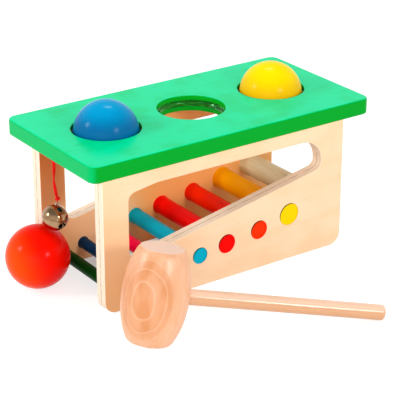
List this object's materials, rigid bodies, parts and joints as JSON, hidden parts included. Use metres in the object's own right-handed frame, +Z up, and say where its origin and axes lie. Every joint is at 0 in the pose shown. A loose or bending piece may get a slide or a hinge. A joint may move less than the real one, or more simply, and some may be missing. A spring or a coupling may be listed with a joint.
{
  "type": "ball pounding bench",
  "caption": "Wooden pounding bench: balls are hammered through elastic rings in a green board, roll down coloured cross rods between windowed panels and pass under a small bell.",
  "frame": {"origin": "middle of the whole set's footprint, at the level of the surface that it stands on", "axes": "+X along the bench towards its high end, +Y from the hammer to the bench, +Z up"},
  "size_m": [0.2818, 0.2422, 0.1469],
  "materials": {
    "green_lacquer": "glossy green lacquer on wood",
    "clear_elastic": "clear, glossy, elastic",
    "plywood": "clear satin lacquer on birch plywood",
    "beech": "clear satin lacquer on beech",
    "bare_wood": "clear satin lacquer on pale wood",
    "yellow_paint": "glossy yellow paint on wood",
    "orange_paint": "glossy orange-red paint on wood",
    "red_paint": "glossy red paint on wood",
    "teal_paint": "glossy teal paint on wood",
    "pink_paint": "glossy pink-red paint on wood",
    "navy_paint": "glossy navy paint on wood",
    "green_paint": "glossy dark green paint on wood",
    "blue_lacquer": "glossy blue lacquer on wood",
    "yellow_lacquer": "glossy yellow lacquer on wood",
    "red_lacquer": "glossy orange-red lacquer on wood",
    "steel": "zinc-plated",
    "nickel": "polished nickel plating",
    "red_cord": "twisted textile cord"
  },
  "bodies": {
    "bench": {"top_board": "green_lacquer", "left_ring": "clear_elastic", "middle_ring": "clear_elastic", "right_ring": "clear_elastic", "front_panel": "plywood", "back_panel": "plywood", "rod_pale": "bare_wood", "rod_yellow": "yellow_paint", "rod_orange": "orange_paint", "rod_red": "red_paint", "rod_teal": "teal_paint", "rod_pink": "pink_paint", "rod_navy": "navy_paint", "rod_green": "green_paint", "front_pin_1": "beech", "front_pin_2": "beech", "front_pin_3": "beech", "back_pin_1": "beech", "back_pin_2": "beech", "back_pin_3": "beech", "screw_eye": "steel"},
    "blue_ball": {"blue_ball": "blue_lacquer"},
    "yellow_ball": {"yellow_ball": "yellow_lacquer"},
    "red_ball": {"red_ball": "red_lacquer"},
    "cord": {"bell_cord": "red_cord", "cord_knot": "red_cord"},
    "bell": {"bell_shell": "nickel", "bell_loop": "nickel"},
    "pellet": {"bell_pellet": "steel"},
    "hammer": {"hammer_head": "beech", "hammer_handle": "beech"}
  },
  "joints": [
    {"name": "blue_ball_pounding", "type": "slide", "parent": "bench", "child": "blue_ball", "axis": [0, 0, 1], "range_m": [-0.0768, 0.055]},
    {"name": "yellow_ball_pounding", "type": "slide", "parent": "bench", "child": "yellow_ball", "axis": [0, 0, 1], "range_m": [-0.0435, 0.055]},
    {"name": "red_ball_removal", "type": "slide", "parent": "bench", "child": "red_ball", "axis": [-0.9659, 0, 0.2588], "range_m": [0, 0.12]},
    {"name": "cord_swing", "type": "hinge", "parent": "bench", "child": "cord", "pos_m": [-0.10599, 0.06586, 0.1095], "axis": [0, 1, 0], "range_deg": [-7, 30]},
    {"name": "bell_swing", "type": "hinge", "parent": "cord", "child": "bell", "pos_m": [-0.10374, 0.06586, 0.0711], "axis": [1, 0, 0], "range_deg": [-15, 15]},
    {"name": "pellet_rattle", "type": "slide", "parent": "bell", "child": "pellet", "axis": [0.225, 0, 0.9744], "range_m": [0, 0.01]},
    {"name": "hammer_lift", "type": "slide", "parent": "bench", "child": "hammer", "axis": [0, 0, 1], "range_m": [0, 0.16]}
  ]
}
